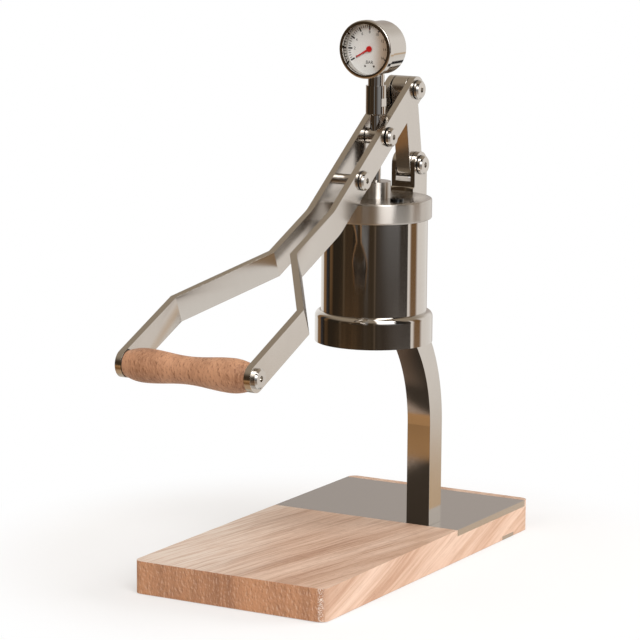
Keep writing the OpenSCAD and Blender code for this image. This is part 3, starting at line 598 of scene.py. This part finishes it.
# %% Finishes on the CAD nodes
FINISH = {
    board_wood: "base_board",
    grip_wood: "grip",
    ground_plate: "base_plate base_tie_bar",
    ground_bar: "link lever_arm_right lever_arm_left",
    post_steel: "post boiler_saddle",
    mirror_tube: "boiler_body brew_cylinder",
    polished: "group_ring gauge_coupling gauge_neck gauge_case gauge_bezel piston_rod",
    turned_up: "lid rod_guide piston shower_screen",
    turned_across: "crosshead arm_spacer grip_tube",
    plug_steel: "fill_plug",
    bolt_steel: "fork_bolt crosshead_bolt lever_end_bolt spacer_bolt grip_bolt link_axle",
    dark_screw: "board_screws post_screws saddle_screws",
    black_plastic: "fork_washer crosshead_washer lever_washers",
    black_rubber: "group_gasket lid_seal piston_seals",
    bronze: "link_bushes gauge_tube",
    dial_paint: "gauge_dial",
    red_paint: "gauge_pointer",
    glass: "gauge_lens",
}


def paint(piece, finish):
    piece.data.materials.clear()
    piece.data.materials.append(finish)


finish_of = {name: finish for finish, names in FINISH.items() for name in names.split()}
for name, node in nodes.items():
    paint(node, finish_of[name])
print("nodes with no finish:", sorted(set(nodes) - set(finish_of)))

# %% [markdown]
# ## Eased edges
# The solids meet in perfectly sharp edges, and a sharp edge catches no light. A
# real bar is filed or tumbled, so each edge is a narrow rounded strip that draws
# a bright line. A copy of the solid gets that strip from a Bevel modifier, and
# stands for the node. Coplanar triangles are joined first, so that the bevel
# finds long clean edges.

# %% A copy of a node with rounded edges
EDGE = math.radians(20)


def solid_copy(source, name):
    """A plain mesh from an object with modifiers, which is then removed."""
    bpy.context.view_layer.update()
    seen = source.evaluated_get(bpy.context.evaluated_depsgraph_get())
    piece = put(name, bpy.data.meshes.new_from_object(seen))
    bpy.data.objects.remove(source)
    return piece


def eased(name, width, steps):
    work = bmesh.new()
    work.from_mesh(nodes[name].data)
    bmesh.ops.remove_doubles(work, verts=work.verts, dist=2e-6)
    bmesh.ops.dissolve_limit(work, angle_limit=math.radians(0.4), verts=work.verts, edges=work.edges)
    mesh = mesh_from(work, name + "_eased")
    mesh.polygons.foreach_set("use_smooth", [True] * len(mesh.polygons))
    mesh.set_sharp_from_angle(angle=EDGE)
    raw = put(name + "_raw", mesh)
    bevel = raw.modifiers.new("edge", "BEVEL")
    bevel.width, bevel.segments = width, steps
    bevel.limit_method, bevel.angle_limit = "ANGLE", EDGE
    bevel.harden_normals = True
    bevel.miter_outer = "MITER_ARC"
    final = solid_copy(raw, name + "_eased")
    paint(final, finish_of[name])
    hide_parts(name)
    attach(final, nodes[name]["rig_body"])
    return final


# Each strip's width, and the steps that round it
EASED = {
    "base_board": (0.0012, 3), "base_plate": (0.0003, 2), "base_tie_bar": (0.0003, 2),
    "lid": (0.0005, 3), "post": (0.0006, 2), "boiler_saddle": (0.0005, 2), "link": (0.0005, 2),
    "lever_arm_right": (0.0005, 2), "lever_arm_left": (0.0005, 2),
}
for name, (width, steps) in EASED.items():
    piece = eased(name, width, steps)
    print(piece.name, len(piece.data.polygons), "faces")

# %% Washers
# The solids' black washers are a hair smaller than the bolt heads. Here they are
# wider in radius, so that they stand a little proud, with a rounded rim. A ring is
# a profile of points, swept round the bolt's axis, which runs along X.
WIDER, ROUNDING, TURNS = 0.0005, 0.00022, 72
# A washer lies wholly within this reach of its middle, and its neighbours lie outside it
ONE_WASHER = 0.012


def washer(name, middles):
    """Draws a node's washers anew. Each keeps its bore and its thickness."""
    work = bmesh.new()
    for middle in middles:
        near = [v.co for v in nodes[name].data.vertices if (v.co - middle).length < ONE_WASHER]
        reach = [math.hypot(co.y - middle.y, co.z - middle.z) for co in near]
        left, right = min(co.x for co in near), max(co.x for co in near)
        bore, rim = min(reach), max(reach) + WIDER
        inset = ROUNDING * 0.3
        profile = [
            (left, bore), (left, rim - ROUNDING),
            (left + inset, rim - inset), (left + ROUNDING, rim),
            (right - ROUNDING, rim), (right - inset, rim - inset),
            (right, rim - ROUNDING), (right, bore),
        ]
        loops = []
        for k in range(TURNS):
            across, above = math.cos(k * math.tau / TURNS), math.sin(k * math.tau / TURNS)
            loops.append([work.verts.new((x, middle.y + r * across, middle.z + r * above))
                          for x, r in profile])
        for one, two in zip(loops, loops[1:] + loops[:1]):
            for n in range(len(profile)):
                after = (n + 1) % len(profile)
                work.faces.new((one[n], one[after], two[after], two[n])).smooth = True
    bmesh.ops.recalc_face_normals(work, faces=work.faces[:])
    mesh = mesh_from(work, name + "_rim")
    mesh.set_sharp_from_angle(angle=math.radians(50))
    piece = put(name + "_rim", mesh)
    paint(piece, black_plastic)
    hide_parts(name)
    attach(piece, nodes[name]["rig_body"])
    print(name, "rim radius and thickness, mm:", round(rim * 1000, 2), round((right - left) * 1000, 2))


def middle_of(points):
    return Vector([(min(c) + max(c)) / 2 for c in zip(*points)])


for name in ("fork_washer", "crosshead_washer", "lever_washers"):
    corners = [v.co.copy() for v in nodes[name].data.vertices]
    low_z, high_z = min(c.z for c in corners), max(c.z for c in corners)
    groups = [corners]
    if high_z - low_z > 2 * ONE_WASHER:
        # Two washers, one above the other
        halfway = (high_z + low_z) / 2
        groups = [[c for c in corners if c.z < halfway], [c for c in corners if c.z >= halfway]]
    washer(name, [middle_of(group) for group in groups])

# %% [markdown]
# ## Gauge dial
# The dial is printed: a ring of ticks, numbers inside it and the unit below. The
# scale starts at lower left and sweeps clockwise through 240 degrees. The ticks
# repeat by a rule, so a Geometry Nodes tree sets them out. Its inputs are the
# sizes a sign maker would ask for.

# %% Geometry Nodes by the same method
class Layout(Recipe):
    """A Geometry Nodes tree with named number inputs."""

    def __init__(self, name, inputs):
        self.tree = bpy.data.node_groups.new(name, "GeometryNodeTree")
        self.slots = {}
        for label, kind in inputs.items():
            item = self.tree.interface.new_socket(label, in_out="INPUT", socket_type=kind)
            self.slots[label] = item.identifier
        self.tree.interface.new_socket("Geometry", in_out="OUTPUT", socket_type="NodeSocketGeometry")
        self.entry = self.tree.nodes.new("NodeGroupInput")

    def value(self, label):
        return Signal(self, self.entry.outputs[label])

    def end(self, geometry, finish):
        real = self.add("GeometryNodeRealizeInstances", None, {0: geometry})
        dressed = self.add("GeometryNodeSetMaterial", None, {"Geometry": real, "Material": finish})
        leave = self.tree.nodes.new("NodeGroupOutput")
        self.tree.links.new(dressed.socket, leave.inputs[0])

    def make(self, name, body, **values):
        """Runs the tree once and keeps the result as a plain mesh on a body."""
        holder = put(name + "_holder", bpy.data.meshes.new(name))
        run = holder.modifiers.new("layout", "NODES")
        run.node_group = self.tree
        for label, value in values.items():
            run[self.slots[label]] = value
        piece = solid_copy(holder, name)
        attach(piece, body)


# %% Ticks
DIAL_X, DIAL_Y = 0.047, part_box("gauge_dial")[0].y
DIAL_Z = sum(v.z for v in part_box("gauge_dial")) / 2
ZERO, DEGREES_PER_BAR = 210.0, 15.0
# Print is a thin slab that lies on the enamel
PRINT_THICK = 0.00006
PRINT_Y = DIAL_Y - PRINT_THICK / 2


def tick_layout(name, finish):
    t = Layout(name, {
        "Count": "NodeSocketInt", "First": "NodeSocketFloat", "Step": "NodeSocketFloat",
        "Radius": "NodeSocketFloat", "Length": "NodeSocketFloat", "Width": "NodeSocketFloat"})
    number = t.add("GeometryNodeInputIndex")
    angle = (t.value("First") - number * t.value("Step")) * math.radians(1.0)
    middle = t.value("Radius") - t.value("Length") * 0.5
    spot = t.add("ShaderNodeCombineXYZ", None, {
        0: angle.math("COSINE") * middle + DIAL_X,
        1: PRINT_Y,
        2: angle.math("SINE") * middle + DIAL_Z})
    points = t.add("GeometryNodePoints", None, {"Count": t.value("Count"), "Position": spot})
    size = t.add("ShaderNodeCombineXYZ", None, {
        0: t.value("Length"), 1: PRINT_THICK, 2: t.value("Width")})
    mark = t.add("GeometryNodeMeshCube", None, {"Size": size})
    turn = t.add("ShaderNodeCombineXYZ", None, {0: 0.0, 1: angle * -1.0, 2: 0.0})
    turn = t.add("FunctionNodeEulerToRotation", None, {0: turn})
    t.end(t.add("GeometryNodeInstanceOnPoints", None, {
        "Points": points, "Instance": mark, "Rotation": turn}), finish)
    return t


black_ticks = tick_layout("black ticks", ink)
red_ticks = tick_layout("red ticks", red_ink)
R = 0.0180
black_ticks.make("dial_ticks_fine", "rod",
                 Count=41, First=ZERO, Step=6.0, Radius=R, Length=0.0019, Width=0.00044)
black_ticks.make("dial_ticks_long", "rod",
                 Count=9, First=ZERO, Step=30.0, Radius=R, Length=0.0035, Width=0.00115)
red_ticks.make("dial_tick_working", "rod",
               Count=1, First=90.0, Step=1.0, Radius=R + 0.0002, Length=0.0042, Width=0.00095)
red_ticks.make("dial_ticks_upper", "rod",
               Count=6, First=90.0, Step=6.0, Radius=R + 0.0003, Length=0.0021, Width=0.00042)

# %% Numbers
def printed(name, text, angle, radius, size):
    """Text on the dial, upright, with its middle at an angle and a radius."""
    curve = bpy.data.curves.new(name, "FONT")
    curve.body, curve.size = text, size
    curve.align_x, curve.align_y = "CENTER", "CENTER"
    curve.extrude = PRINT_THICK / 2
    piece = solid_copy(put(name + "_text", curve), name)
    a = math.radians(angle)
    spot = (DIAL_X + radius * math.cos(a), PRINT_Y, DIAL_Z + radius * math.sin(a))
    piece.data.transform(Matrix.Translation(spot) @ Matrix.Rotation(math.radians(90), 4, "X"))
    paint(piece, ink)
    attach(piece, "rod")


for bar in range(0, 17, 2):
    printed(f"dial_number_{bar}", str(bar), ZERO - bar * DEGREES_PER_BAR, 0.0126, 0.0030)
printed("dial_unit", "BAR", -90.0, 0.0100, 0.0034)

# %% Two screws that hold the dial
# Each is a low cone. A thin bar across its top stands for the slot
FOOT_RADIUS, HEAD_RADIUS, HEAD_HEIGHT = 0.00085, 0.0006, 0.0004
SLOT = (0.00116, 0.00018, 0.00004)


def dial_screw(name, x, z):
    work = bmesh.new()
    bmesh.ops.create_cone(work, cap_ends=True, segments=28,
                          radius1=FOOT_RADIUS, radius2=HEAD_RADIUS, depth=HEAD_HEIGHT)
    bmesh.ops.bevel(work, geom=work.edges[:], offset=0.00006, segments=2, affect="EDGES")
    for v in bmesh.ops.create_cube(work, size=1.0)["verts"]:
        v.co = Vector((v.co.x * SLOT[0], v.co.y * SLOT[1], v.co.z * SLOT[2] + 0.00021))
    mesh = mesh_from(work, name)
    mesh.transform(Matrix.Translation((x, DIAL_Y - HEAD_HEIGHT / 2, z))
                   @ Matrix.Rotation(math.radians(90), 4, "X")
                   @ Matrix.Rotation(math.radians(35), 4, "Z"))
    piece = put(name, mesh)
    paint(piece, dark_screw)
    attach(piece, "rod")


dial_screw("dial_screw_left", DIAL_X - 0.0037, DIAL_Z - 0.0128)
dial_screw("dial_screw_right", DIAL_X + 0.0037, DIAL_Z - 0.0128)
